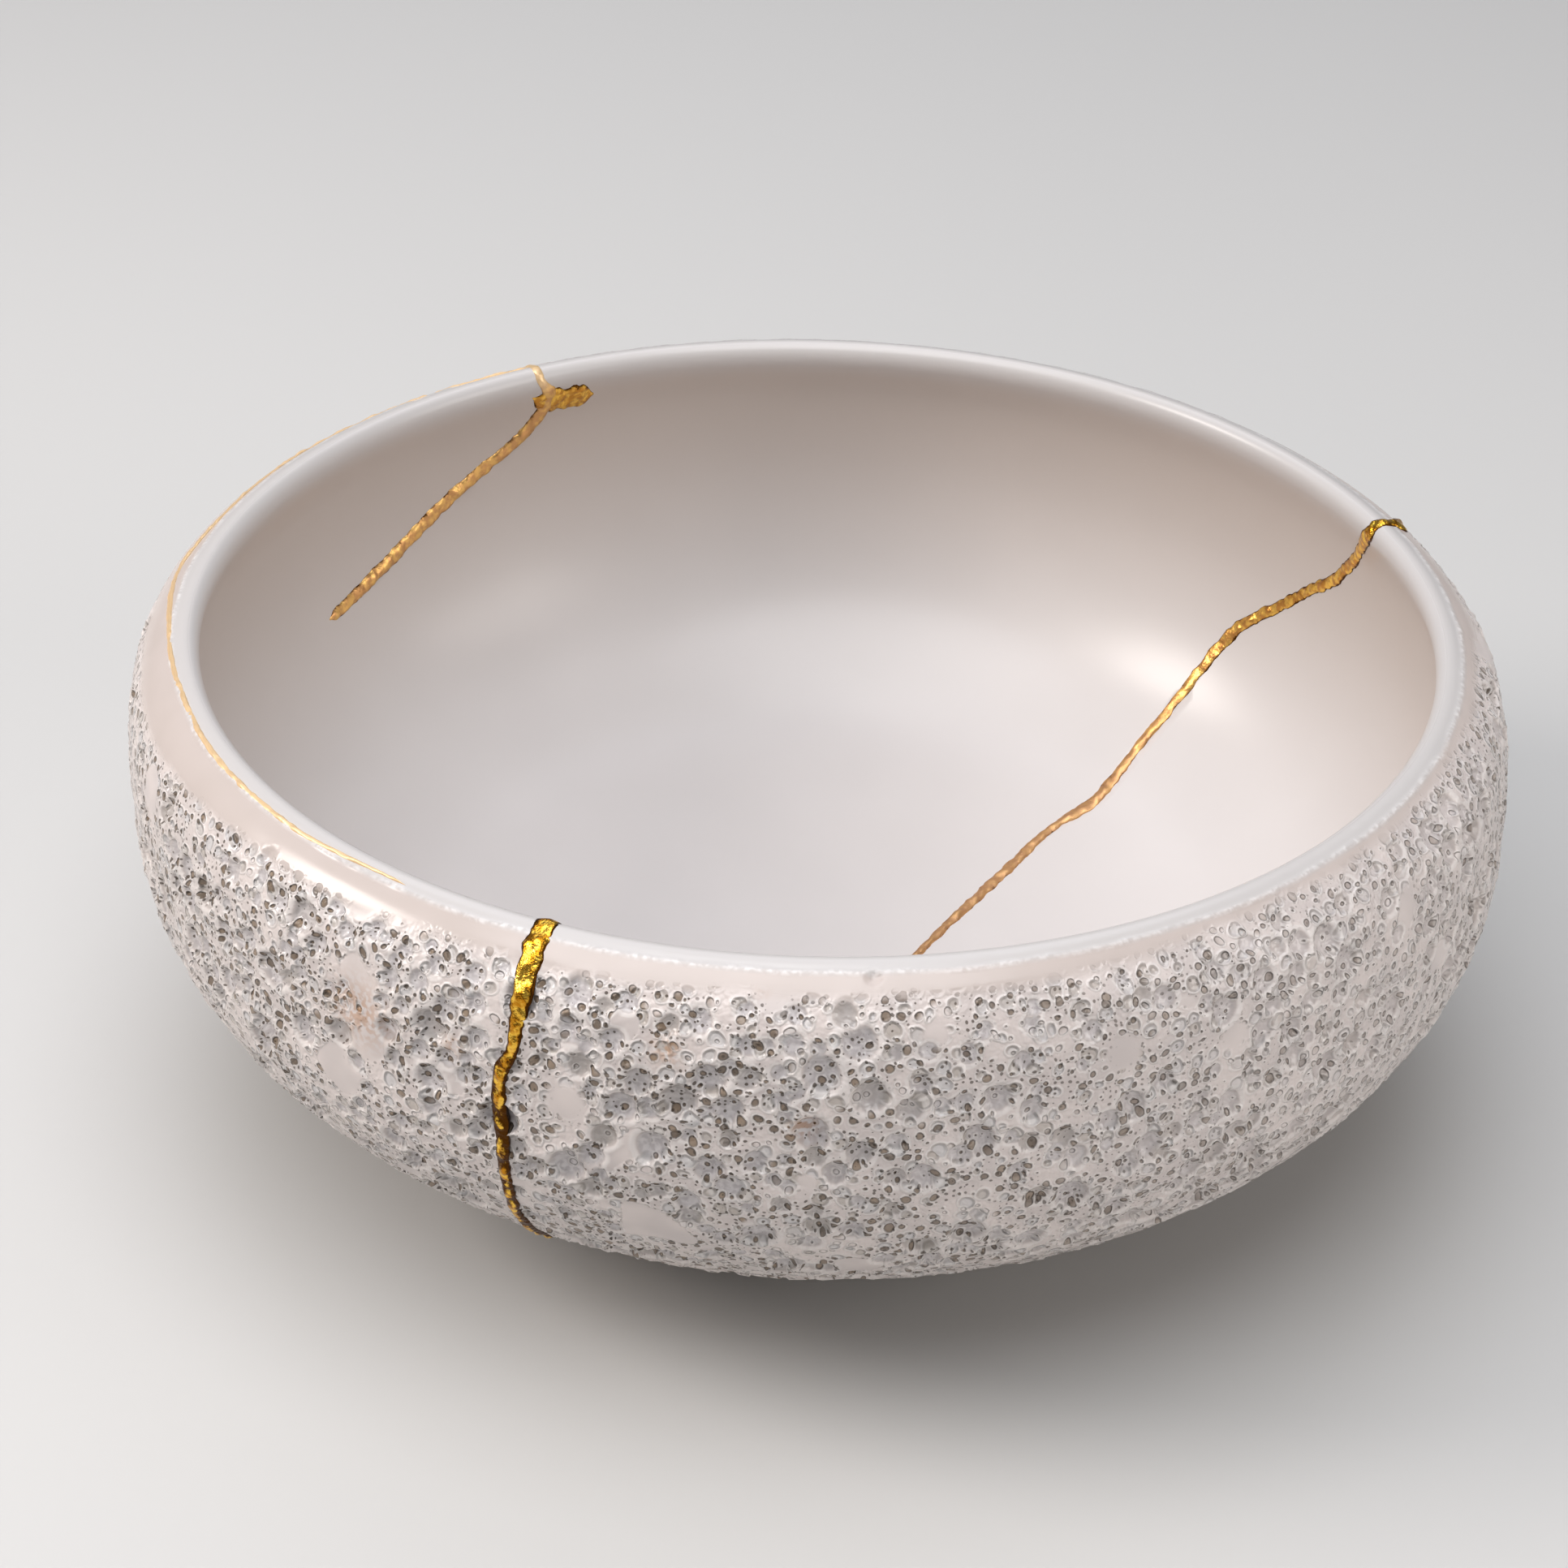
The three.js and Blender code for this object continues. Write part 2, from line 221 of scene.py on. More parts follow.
class Section:
    """The bowl's whole section as one chain of points: from the middle of the base out over the
    foot ring, up the belly, over the lip and down the hollow to the middle of the floor.

    s is the distance along it. reach is the distance along the hollow, from the middle of the
    floor, of the nearest point of the hollow: both sides of the wall share it. top, mouth and wall
    are the numbers of the chain's highest point, of the hollow's first and of the wall outside."""

    STEP = 0.05

    def __init__(self, form):
        belly_r, belly_z, drop = form.belly_radius / MM, form.belly_height / MM, form.belly_drop / MM
        turn = np.linspace(np.arccos(FOOT[-1][0] / belly_r), 0, 120)
        belly = np.stack([belly_r * np.cos(turn), belly_z - drop * np.sin(turn)], 1)
        upper = curve_through(SHOULDER + LIP + HOLLOW[::-1], 1600)
        chain = resampled(np.concatenate([np.array(FOOT, float), belly, upper[1:]]), self.STEP)
        soft = int(form.soft_edge / MM / self.STEP) | 1
        padded = np.pad(chain, ((soft // 2, soft // 2), (0, 0)), "edge")
        chain = np.stack([np.convolve(column, np.ones(soft) / soft, "valid") for column in padded.T], 1)
        chain[[0, -1], 0] = 0
        self.s = lengths(chain)
        self.r, self.z = chain.T
        self.length = self.s[-1]
        self.top = np.argmax(self.z)
        self.lip = self.s[self.top]
        self.mouth = np.argmin(np.abs(self.length - self.s - MOUTH_REACH))
        self.wall = slice(np.argmin(np.abs(self.z[:self.top] - WALL_FROM)), self.top)
        self.reach = self.reach_of(chain)

    def reach_of(self, chain, every=4, smooth=25):
        """The reach of each point. Outside it is that of the nearest point of the hollow, of which
        every fourth is tried, and is evened out. Over the lip it is that of the mouth."""
        hollow = chain[self.mouth:][::-1]
        along = lengths(hollow)
        reach = np.full(len(chain), along[-1])
        reach[self.mouth:] = along[::-1]
        apart = ((chain[:self.top, None] - hollow[None, ::every]) ** 2).sum(2)
        nearest = along[np.argmin(apart, axis=1) * every]
        even = np.convolve(np.pad(nearest, smooth // 2, "edge"), np.ones(smooth) / smooth, "valid")
        reach[:self.top] = np.maximum.accumulate(even)
        reach[0] = 0
        return reach

    def point(self, s):
        """(radius, height) at the distance s."""
        return np.interp(s, self.s, self.r), np.interp(s, self.s, self.z)

    def normal(self, s):
        """The outward normal (radial, upward) at s: the tangent turned a quarter clockwise."""
        d = 3 * self.STEP
        r1, z1 = self.point(np.clip(s - d, 0, self.length))
        r2, z2 = self.point(np.clip(s + d, 0, self.length))
        size = np.hypot(r2 - r1, z2 - z1) + 1e-9
        return (z2 - z1) / size, (r1 - r2) / size

    def s_outside(self, reach):
        """s on the outside at a reach."""
        return np.interp(reach, self.reach[:self.top], self.s[:self.top])

    def s_hollow(self, reach):
        """s in the hollow at a reach."""
        return np.interp(reach, self.reach[self.mouth:][::-1], self.s[self.mouth:][::-1])

    def s_at_height(self, height):
        """s on the outside of the wall at a height."""
        return np.interp(height, self.z[self.wall], self.s[self.wall])

    def s_on_shoulder(self, radius):
        """s on the outside at a radius, between the lip and the widest place."""
        r, s = self.r[self.wall][::-1], self.s[self.wall][::-1]
        widest = np.argmax(r)
        return np.interp(radius, r[:widest], s[:widest])


def placed(form, r, z, angle):
    """Places in space: turned about the axis, then sheared sideways in step with the height."""
    slope = form.lean / form.rim_height
    x = r * np.cos(angle) + slope * (z - form.belly_height / MM)
    return np.stack([x, r * np.sin(angle), z + 0 * x], axis=-1)


def turned_normal(nr, nz, angle):
    """A normal of the section, (radial, upward), turned about the axis."""
    return np.stack([nr * np.cos(angle), nr * np.sin(angle), nz + 0 * angle], axis=-1)


def on_map(line):
    """A line of the break on the flat map of the hollow: x and y with the reach as the radius."""
    degrees, reach, width = np.array(line, float).T
    angle = np.radians(degrees)
    return np.stack([reach * np.cos(angle), reach * np.sin(angle), width], 1)


class Break:
    """The break that parts the bowl, on the map. The shards' grids are polar about `heart`, the
    point of the break nearest to the axis, so that the break leaves it by two branches. A side
    vector points across the break, to its left."""

    SHIFTED = 28.0
    FRONT_DEGREES = 247
    BACK_DEGREES = 46

    def __init__(self):
        line = resampled(curve_through(on_map(JOINT_LINE), 4000), MAP_STEP)
        self.line = line
        near = np.argmin(np.hypot(line[:, 0], line[:, 1]))
        self.heart = line[near, :2]
        q = line[:, :2].copy()
        # q moves by the pull at its own radius, so it is found by repeating.
        for _ in range(40):
            q = line[:, :2] - self.heart * self.pull(np.hypot(q[:, 0], q[:, 1]))[:, None]
        rho = np.hypot(q[:, 0], q[:, 1])
        phi = np.unwrap(np.arctan2(q[:, 1], q[:, 0]))
        side = np.gradient(line[:, :2], axis=0)
        side = np.stack([-side[:, 1], side[:, 0]], 1) / np.linalg.norm(side, axis=1)[:, None]
        front, back = slice(near - 1, None, -1), slice(near + 1, None)
        self.front = self.branch(rho[front], phi[front], side[front], self.FRONT_DEGREES)
        self.back = self.branch(rho[back], phi[back], side[back], self.BACK_DEGREES)

    def pull(self, rho):
        """How far the grid is pulled towards the heart at a radius: (1 - x^2)^2 inside SHIFTED."""
        return np.clip(1 - (rho / self.SHIFTED) ** 2, 0, 1) ** 2

    def branch(self, rho, phi, side, degrees):
        """One branch outward from the heart, as rising radii with the angle and the side vector at
        each. Whole turns are added so that its middle is nearest to the degrees."""
        rho = np.maximum.accumulate(rho)
        middle = np.degrees(phi[len(phi) // 2])
        phi = phi + np.radians(360 * np.round((degrees - middle) / 360))
        return rho, phi, side

    def at(self, branch, rho):
        """(angle, side vector) of a branch at the radius rho of the grid."""
        known, phi, side = branch
        vector = np.stack([np.interp(rho, known, side[:, k]) for k in (0, 1)], -1)
        return np.interp(rho, known, phi), vector


def crater_list(section, glaze, rng, lowest=40, power=-1.6):
    """Craters as rows of (s, angle, radius). The main ones come first. The others have places even
    over the wall's area from the lowest reach up, and radii by a power law. They lie off the
    plateaus, and at most a quarter of their radius over the edge of the smooth band."""
    degrees, height, main = np.array(MAIN_CRATERS).T
    s = rng.uniform(section.s_outside(lowest), section.lip, glaze.craters)
    angle = rng.uniform(0, 2 * np.pi, glaze.craters)
    small, large = (glaze.crater_small / MM) ** power, (glaze.crater_large / MM) ** power
    radius = (small + rng.uniform(0, 1, glaze.craters) * (large - small)) ** (1 / power)
    r, z = section.point(s)
    keep = rng.uniform(0, 1, glaze.craters) < r / r.max()
    keep &= plateau(section, s, angle) < 0.5
    keep &= z + 0.75 * radius < band_edge(section, glaze, angle)
    order = np.argsort(-radius[keep])
    s = np.r_[section.s_at_height(height), s[keep][order]]
    angle = np.r_[np.radians(degrees), angle[keep][order]]
    radius = np.r_[main, radius[keep][order]]
    r, z = section.point(s)
    place = np.stack([r * np.cos(angle), r * np.sin(angle), z], 1)
    kept = list(range(len(main)))
    for k in range(len(main), len(s)):
        apart = np.linalg.norm(place[kept] - place[k], axis=1)
        if np.all(apart > glaze.spread * (radius[kept] + radius[k])):
            kept.append(k)
    return np.stack([s, angle, radius], 1)[kept]


def band_edge(section, glaze, angle):
    """The uneven height at which the smooth band under the ridge ends and the craters begin. The
    band is wider on the left and narrower on the right."""
    x, y = SHOULDER_RADIUS * np.cos(angle), SHOULDER_RADIUS * np.sin(angle)
    width = 1 + 0.3 * (0.6 * noise_at(14, 5, x, y) + 0.4 * noise_at(4.5, 6, x, y))
    for degrees, spread, share in BAND_SWELLS:
        width += share * np.exp(-((angle % (2 * np.pi) - np.radians(degrees)) / spread) ** 2)
    return section.z.max() - glaze.band / MM * width


def spots(places, z, angle):
    """Round spots on the wall: the largest of exp(-d^2 / size^2), d being the distance from one."""
    field = 0 * z
    for degrees, height, size in places:
        across = turn_between(np.radians(degrees), angle) * WALL_RADIUS
        field = np.maximum(field, np.exp(-(across ** 2 + (z - height) ** 2) / size ** 2))
    return field


def plateau(section, s, angle):
    """1 where the glaze stayed smooth, in patches some 5 mm wide, and 0 elsewhere."""
    r, z = section.point(s)
    place = r * np.cos(angle), r * np.sin(angle), z
    patches = smoothstep(0.66, 0.84, noise_at(6.5, 14, *place) + 0.4 * noise_at(4, 12, *place))
    return np.maximum(patches, spots(PLATEAUS, z, angle))


class CraterField:
    """Depths and marks of the modelled craters, on an even grid of (s, angle)."""

    STEP = 0.14
    COLUMNS = 3600
    LOWEST_REACH = 36

    def __init__(self, section, glaze):
        self.low = section.s_outside(self.LOWEST_REACH)
        rows = int((section.lip - self.low) / self.STEP) + 2
        self.height, self.crater, self.tone = (
            np.full((rows, self.COLUMNS), empty, np.float32) for empty in (0, -1, 0.5)
        )
        rng = np.random.default_rng(7)
        for s, angle, radius in crater_list(section, glaze, rng):
            self.stamp(section.point(s)[0], s, angle, radius, rng.uniform(0, 1), glaze.crater_depth)

    def stamp(self, r, s, angle, radius, tone, share):
        """One crater. With u the distance over the radius, it is a cup of depth D(1 - u^4) inside
        u = 1 and a soft raised lip round it that is gone by u = 1.5. It covers what was there."""
        cell = 2 * np.pi * r / self.COLUMNS
        row, column = (s - self.low) / self.STEP, angle / (2 * np.pi) * self.COLUMNS
        half = np.ceil(1.5 * radius / np.array([self.STEP, cell])).astype(int)
        rows = np.arange(int(row) - half[0], int(row) + half[0] + 2)
        rows = rows[(rows >= 0) & (rows < len(self.height))]
        columns = np.arange(int(column) - half[1], int(column) + half[1] + 2)
        dy, dx = (rows - row)[:, None] * self.STEP, (columns - column)[None, :] * cell
        bearing = np.arctan2(dy, dx)
        uneven = 1 + 0.05 * np.sin(2 * bearing + 40 * tone) + 0.04 * np.sin(3 * bearing + 90 * tone)
        u = np.hypot(dx, dy) / (radius * uneven)
        depth = share * radius * (0.8 + 0.4 * tone)
        cup = -depth * np.clip(1 - u ** 4, 0, 1)
        ripple = 0.07 * depth * np.cos(u * 15) * (u < 0.8) * (radius > 1.2)
        lip = 0.3 * depth * np.exp(-((u - 1.14) / 0.14) ** 2)
        window = np.ix_(rows, columns % self.COLUMNS)
        self.height[window] += smoothstep(1.5, 1.05, u) * (cup + ripple + lip - self.height[window])
        before = self.crater[window]
        round_it = np.where(u < 1.5, np.minimum(np.maximum(before, 1 - u), u - 1), before)
        self.crater[window] = np.where(u < 1, 1 - u, round_it)
        self.tone[window] = np.where(u < 1.2, tone, self.tone[window])

    def sample(self, values, s, angle):
        """The grid's values at places, straight between its four nearest cells."""
        row = np.clip((s - self.low) / self.STEP, 0, len(values) - 1.001)
        column = (angle / (2 * np.pi) * self.COLUMNS) % self.COLUMNS
        i, j = row.astype(int), column.astype(int) % self.COLUMNS
        k, fi, fj = (j + 1) % self.COLUMNS, row - i, column - np.floor(column)
        low = values[i, j] * (1 - fj) + values[i, k] * fj
        high = values[i + 1, j] * (1 - fj) + values[i + 1, k] * fj
        return low * (1 - fi) + high * fi


def glaze_marks(section, glaze, field, s, angle):
    """The glaze at places of the skin: its height over the smooth wall, and a number for each of
    the marks that the material reads. u and v are millimetres round the wall and along the
    section, warped a little, which the small bubbles' flat patterns lie on."""
    r, z = section.point(s)
    x, y = r * np.cos(angle), r * np.sin(angle)
    edge = band_edge(section, glaze, angle)
    outside = s < section.lip
    in_field = outside & (s > field.low)
    cratered = smoothstep(edge + 0.4, edge - 0.5, z) * in_field
    swell = noise_at(4.2, 21, x, y, z) + 0.6 * noise_at(1.9, 22, x, y, z)
    ground = (0.07 * swell - 0.11) * cratered
    craters = field.sample(field.height, s, angle) * in_field
    ridge_at = section.s_at_height(RIDGE_HEIGHT)
    wavy = ridge_at + 0.25 * noise_at(3, 24, x, y)
    ridge = np.exp(-((s - wavy) / RIDGE_SPREAD) ** 2) * (1 + 0.6 * noise_at(1.3, 25, x, y))
    over_lip = smoothstep(section.lip + 6, section.lip + 1, s)
    foot = section.s_outside(37.3)
    across = WALL_RADIUS * angle
    degrees, spread, share = LIT_SIDE
    return craters + ground + RIDGE_RISE * ridge, {
        "u": across + 0.3 * noise_at(1.4, 33, across, s),
        "v": s + 0.3 * noise_at(1.4, 34, across, s),
        "lip": smoothstep(ridge_at - 0.5, ridge_at + 0.3, s) * over_lip,
        "crater": np.where(in_field, field.sample(field.crater, s, angle), -1),
        "tone": field.sample(field.tone, s, angle),
        "cratered": cratered,
        "plateau": plateau(section, s, angle) * outside,
        "ridge": ridge,
        "stain": spots(STAINS, z, angle) * outside,
        "lit_side": share * np.exp(-(turn_between(np.radians(degrees), angle) / spread) ** 2),
        "inner": (s >= section.lip) * 1.0,
        "bare": smoothstep(foot + 1.2, foot + 0.4, s + 0.3 * noise_at(3, 31, x, y)),
    }


def make_mesh(name, points, faces, marks):
    """A mesh object at the origin from points in millimetres and rows of three vertex numbers.
    Each mark is one number for each vertex, for the materials to read."""
    mesh = bpy.data.meshes.new(name)
    mesh.vertices.add(len(points))
    mesh.vertices.foreach_set("co", (points * MM).astype(np.float32).ravel())
    mesh.loops.add(faces.size)
    mesh.loops.foreach_set("vertex_index", faces.astype(np.int32).ravel())
    mesh.polygons.add(len(faces))
    mesh.polygons.foreach_set("loop_start", np.arange(0, faces.size, 3, dtype=np.int32))
    mesh.polygons.foreach_set("use_smooth", np.ones(len(faces), bool))
    mesh.update(calc_edges=True)
    for mark, values in marks.items():
        layer = mesh.attributes.new(mark, "FLOAT", "POINT")
        layer.data.foreach_set("value", values.astype(np.float32).ravel())
    made = bpy.data.objects.new(name, mesh)
    bpy.context.scene.collection.objects.link(made)
    return made


def add_piece(name, skin, materials, stands_for):
    """Makes a mesh object of the part: its materials, the body it rides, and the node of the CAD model
    that it stands for. Faces whose vertices all have the mark `inner` at 1 take the
    last material."""
    points, faces, marks = skin
    low, high = (np.array(corner) / MM for corner in CAD_BOX)
    piece = make_mesh(name, np.clip(points, low + BOX_MARGIN, high - BOX_MARGIN), faces, marks)
    for material in materials:
        piece.data.materials.append(material)
    if "inner" in marks:
        inner = marks["inner"][faces].min(axis=1) > 0.99
        piece.data.polygons.foreach_set("material_index", inner.astype(np.int32))
    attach(piece, "root")
    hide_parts(stands_for)


def merged(skins):
    """The points and the marks of skins, one skin after another."""
    points = np.concatenate([points for points, _ in skins])
    marks = {mark: np.concatenate([marks[mark].ravel() for _, marks in skins]) for mark in skins[0][1]}
    return points, marks


def grid_faces(index):
    """Two triangles for each cell of a grid of vertex numbers, wound from columns to rows."""
    a, b, c, d = index[:-1, :-1], index[:-1, 1:], index[1:, 1:], index[1:, :-1]
    return np.concatenate([np.stack([a, b, c], -1), np.stack([a, c, d], -1)]).reshape(-1, 3)


def fan_faces(tip, chain):
    """Triangles from one vertex to each step of a chain."""
    return np.stack([np.full(len(chain) - 1, tip), chain[:-1], chain[1:]], -1)


def step_faces(lower, upper):
    """Triangles between two rows of a grid, of which one may have twice the cells of the other."""
    if len(lower) == len(upper):
        return grid_faces(np.stack([lower, upper]))
    if len(lower) > len(upper):
        left, middle, right = lower[:-1:2], lower[1::2], lower[2::2]
        first = [left, middle, upper[:-1]]
        second, third = [middle, right, upper[1:]], [middle, upper[1:], upper[:-1]]
    else:
        left, middle, right = upper[:-1:2], upper[1::2], upper[2::2]
        first = [left, lower[:-1], middle]
        second, third = [middle, lower[1:], right], [lower[:-1], lower[1:], middle]
    return np.concatenate([np.stack(corners, -1) for corners in (first, second, third)])


def zipped_faces(a, reach_a, b, reach_b):
    """Triangles between two chains of vertices that rise together, the next one being taken from
    whichever chain is lower. Those without area, where the chains meet, are left out."""
    j = np.searchsorted(reach_b[1:], reach_a[1:], side="left")
    i = np.searchsorted(reach_a[1:], reach_b[1:], side="right")
    rise_a = np.stack([a[:-1], a[1:], b[j.clip(max=len(b) - 1)]], -1)
    rise_b = np.stack([a[i.clip(max=len(a) - 1)], b[1:], b[:-1]], -1)
    faces = np.concatenate([rise_a, rise_b])
    return faces[(faces != np.roll(faces, 1, axis=1)).all(axis=1)]


def spread_out(start, stop, first, last):
    """Distances from start up to but not at stop, with gaps that go from first to last."""
    count = int(round((stop - start) / ((first + last) / 2)))
    t = np.linspace(0, 1, count, endpoint=False)
    return start + (stop - start) * (t + (t * t - t) * (last - first) / (last + first))


def shard_rows(section, glaze):
    """The distances s of a shard's rows, in zones of (rows, cells of the finest grid under one
    cell). The crater glaze and the ridge have the finest grid, the floor and the base the coarsest.
    foot and ring are just inside and just outside the foot ring, belly is where the finest grid
    starts, and turn is where the hollow's wall meets its floor."""
    fine = glaze.grid / MM
    foot, ring, belly = (section.s_outside(reach) for reach in (28, 38.5, 66))
    ridge = section.s_at_height(RIDGE_HEIGHT)
    turn = section.s_hollow(66)
    return [
        (spread_out(1.2, foot, 2.4, 2.0), 4),
        (np.r_[spread_out(foot, ring, 0.5, 0.5), spread_out(ring, belly, 1.0, 1.7 * fine)], 2),
        (np.r_[spread_out(belly, ridge - 1, fine, fine), spread_out(ridge - 1, ridge + 1, 0.25, 0.25)], 1),
        (spread_out(ridge + 1, turn, 0.45, 1.4), 2),
        (spread_out(turn, section.length - 1, 1.7, 1.9), 4),
    ]


def shard_skin(form, glaze, gap, start, stop, side):
    """A shard is the skin of the whole section between two branches of the break, closed along the
    break by a face on each side. A place on it is the section's point at s, turned to an angle
    between the branches, and the glaze lifts or sinks it along the wall's normal."""
    section, split = Section(form), Break()
    field = CraterField(section, glaze)
    zones = shard_rows(section, glaze)
    # Eight divides the cells of a row, so that every zone's coarser cells end on vertices of it.
    cells = int((stop[1][-1] - start[1][-1]) * form.belly_radius / glaze.grid / 8) * 8
    places, grids, count = [], [], 0
    for rows, under in zones:
        share = np.linspace(0, 1, cells // under + 1)[None, :]
        places.append(shard_places(section, split, gap, rows[:, None], share, start, stop, side))
        size = len(rows), share.size
        grids.append(count + np.arange(size[0] * size[1]).reshape(size))
        count += size[0] * size[1]
    heart_reach, heart_angle = np.hypot(*split.heart), np.arctan2(split.heart[1], split.heart[0])
    for s in (section.s_outside(heart_reach), section.s_hollow(heart_reach)):
        places.append((np.array([s]), np.array([heart_angle])))
    skins = []
    for s, angle in places:
        height, marks = glaze_marks(section, glaze, field, s, angle)
        lifted = turned_normal(*section.normal(s), angle) * height[..., None]
        skins.append(((placed(form, *section.point(s), angle) + lifted).reshape(-1, 3), marks))
    points, marks = merged(skins)
    return points, shard_faces(section, zones, grids, count), marks


def shard_faces(section, zones, grids, heart):
    """A shard's faces: its grids, the steps between them, a fan about the heart under the base and
    on the floor, whose vertices are numbered `heart` and the next, and the two faces of the break."""
    faces = [grid_faces(grid) for grid in grids]
    faces += [step_faces(one[-1], other[0]) for one, other in zip(grids, grids[1:])]
    faces.append(fan_faces(heart, grids[0][0][::-1]))
    faces.append(fan_faces(heart + 1, grids[-1][-1]))
    s = np.concatenate([rows for rows, _ in zones])
    reach = np.interp(s, section.s, section.reach)
    top = np.argmin(np.abs(s - section.lip))
    rise = np.maximum.accumulate(np.r_[0, reach[:top + 1]])
    fall = np.maximum.accumulate(np.r_[0, reach[top:][::-1]])
    for column, winding in ((0, 1), (-1, -1)):
        chain = np.concatenate([grid[:, column] for grid in grids])
        outer, inner = np.r_[heart, chain[:top + 1]], np.r_[heart + 1, chain[top:][::-1]]
        faces.append(zipped_faces(outer, rise, inner, fall)[:, ::winding])
    return np.concatenate(faces)


def shard_places(section, split, gap, s, share, start, stop, side):
    """(s, angle) of places on a shard, from rows at s and shares of the way from one branch of the
    break to the other. Next to the break they move away from it by half the gap, and the move
    fades as exp(-(d / 3 mm)^2) with the distance d from it."""
    rho = np.interp(s, section.s, section.reach)
    from_angle, from_side = split.at(start, rho)
    to_angle, to_side = split.at(stop, rho)
    turn = to_angle - from_angle
    angle = from_angle + turn * share
    q = np.stack([rho * np.cos(angle), rho * np.sin(angle)], -1) + split.heart * split.pull(rho)[..., None]
    near_from = np.exp(-(rho * turn * share / 3) ** 2)[..., None]
    near_to = np.exp(-(rho * turn * (1 - share) / 3) ** 2)[..., None]
    away = side * (near_from * from_side + near_to * to_side)
    q = q + gap / 2 * away / np.maximum(near_from + near_to, 1)
    reach, moved_angle = np.hypot(q[..., 0], q[..., 1]), np.arctan2(q[..., 1], q[..., 0])
    moved = np.where(s < section.lip, section.s_outside(reach), section.s_hollow(reach))
    return np.where(rho < split.SHIFTED, moved, s + 0 * share), angle + turn_between(angle, moved_angle)


def bead(centre, normal, half_width, height, skirt, matt, wear_and_shade, pale, seed, closed=False, corners=13):
    """A lumpy bead of gold laid along a line. Across it, with q from -1 to 1, the height over the wall is (1
    - q^2)^0.6, and both feet reach down into the wall by the skirt. Noise along it moves its two edges and
    lifts and dents its top. Marks: how matt the gold is, how far it is rubbed away to the lacquer with
    painted shade in its dents and along its edges, and how pale."""
    along = np.roll(centre, -1, 0) - np.roll(centre, 1, 0) if closed else np.gradient(centre, axis=0)
    aside = np.cross(normal, along)
    aside /= np.linalg.norm(aside, axis=1)[:, None]
    d = lengths(centre)
    left, right = (
        half_width * (1 + 0.2 * noise_at(1.3, k, d) + 0.14 * noise_at(0.5, k + 1, d))
        for k in (seed, seed + 2)
    )
    q = np.sin(np.linspace(-np.pi / 2, np.pi / 2, corners))[None, :]
    across = q * np.where(q < 0, left[:, None], right[:, None])
    lump = noise_at(1.4, seed + 4, d[:, None], across) + 0.6 * noise_at(0.6, seed + 5, d[:, None], across)
    dome = np.clip(1 - q ** 2, 0, 1) ** 0.6
    up = height[:, None] * dome * (1 + 0.65 * lump)
    top = centre[:, None] + aside[:, None] * across[..., None] + normal[:, None] * up[..., None]
    feet = centre[:, None] + aside[:, None] * 0.8 * across[:, [-1, 0], None] - normal[:, None] * skirt
    ring = np.concatenate([top, feet], 1)
    rings, around = ring.shape[:2]
    index = np.arange(rings * around).reshape(rings, around)
    index = np.concatenate([index, index[:, :1]], 1)
    if closed:
        faces = [grid_faces(np.concatenate([index, index[:1]], 0))]
    else:
        ends = [fan_faces(end[0], end[1:-1]) for end in (index[0], index[-1])]
        faces = [grid_faces(index), ends[0][:, ::-1], ends[1]]
    # Painted shade with the wear: brown lacquer is painted where the gold is rubbed away, in its dents and
    # towards its edges. A dark line along the edges paints the shade of the gap beside the bead.
    thin_and_shade = wear_and_shade[:, None] * (0.6 - 0.6 * lump + 0.5 * np.abs(q) ** 3)
    thin_and_shade += 0.8 * np.abs(q) ** 4 * (1 - matt[:, None]) * (1 - pale[:, None])
    thin_and_shade = np.concatenate([thin_and_shade, np.ones((rings, 2))], 1)
    marks = {"thin_and_shade": thin_and_shade.ravel(), "matt": np.repeat(matt, around), "pale": np.repeat(pale, around)}
    return ring.reshape(-1, 3), np.concatenate(faces)[:, ::-1], marks


def on_skin(section, form, s, angle, sunk):
    """Places and normals of the smooth wall along a line of (s, angle), sunk into it by some
    millimetres. The normals are evened out along the line, three times, by (1, 2, 1) / 4."""
    place = placed(form, *section.point(s), angle)
    normal = turned_normal(*section.normal(s), angle)
    for _ in range(3):
        normal[1:-1] = (normal[:-2] + 2 * normal[1:-1] + normal[2:]) / 4
    normal /= np.linalg.norm(normal, axis=1)[:, None]
    return place - normal * sunk[:, None], normal


def even_line(form, section, line, step):
    """A line of (s, x, y, width) on the skin, with even steps along it. x and y give the angle."""
    place = placed(form, *section.point(line[:, 0]), np.arctan2(line[:, 2], line[:, 1]))
    along = lengths(place)
    at = np.arange(0, along[-1], step)
    return [np.interp(at, along, column) for column in line.T]


def both_sides(section, line):
    """A line of the map as (s, x, y, width) in the hollow and outside."""
    reach = np.hypot(line[:, 0], line[:, 1])
    return (np.column_stack([side(reach), line]) for side in (section.s_hollow, section.s_outside))


def bridge(one, other, steps=40):
    """Points straight from one to the other, without either."""
    return one + (other - one) * np.linspace(0, 1, steps)[1:-1, None]


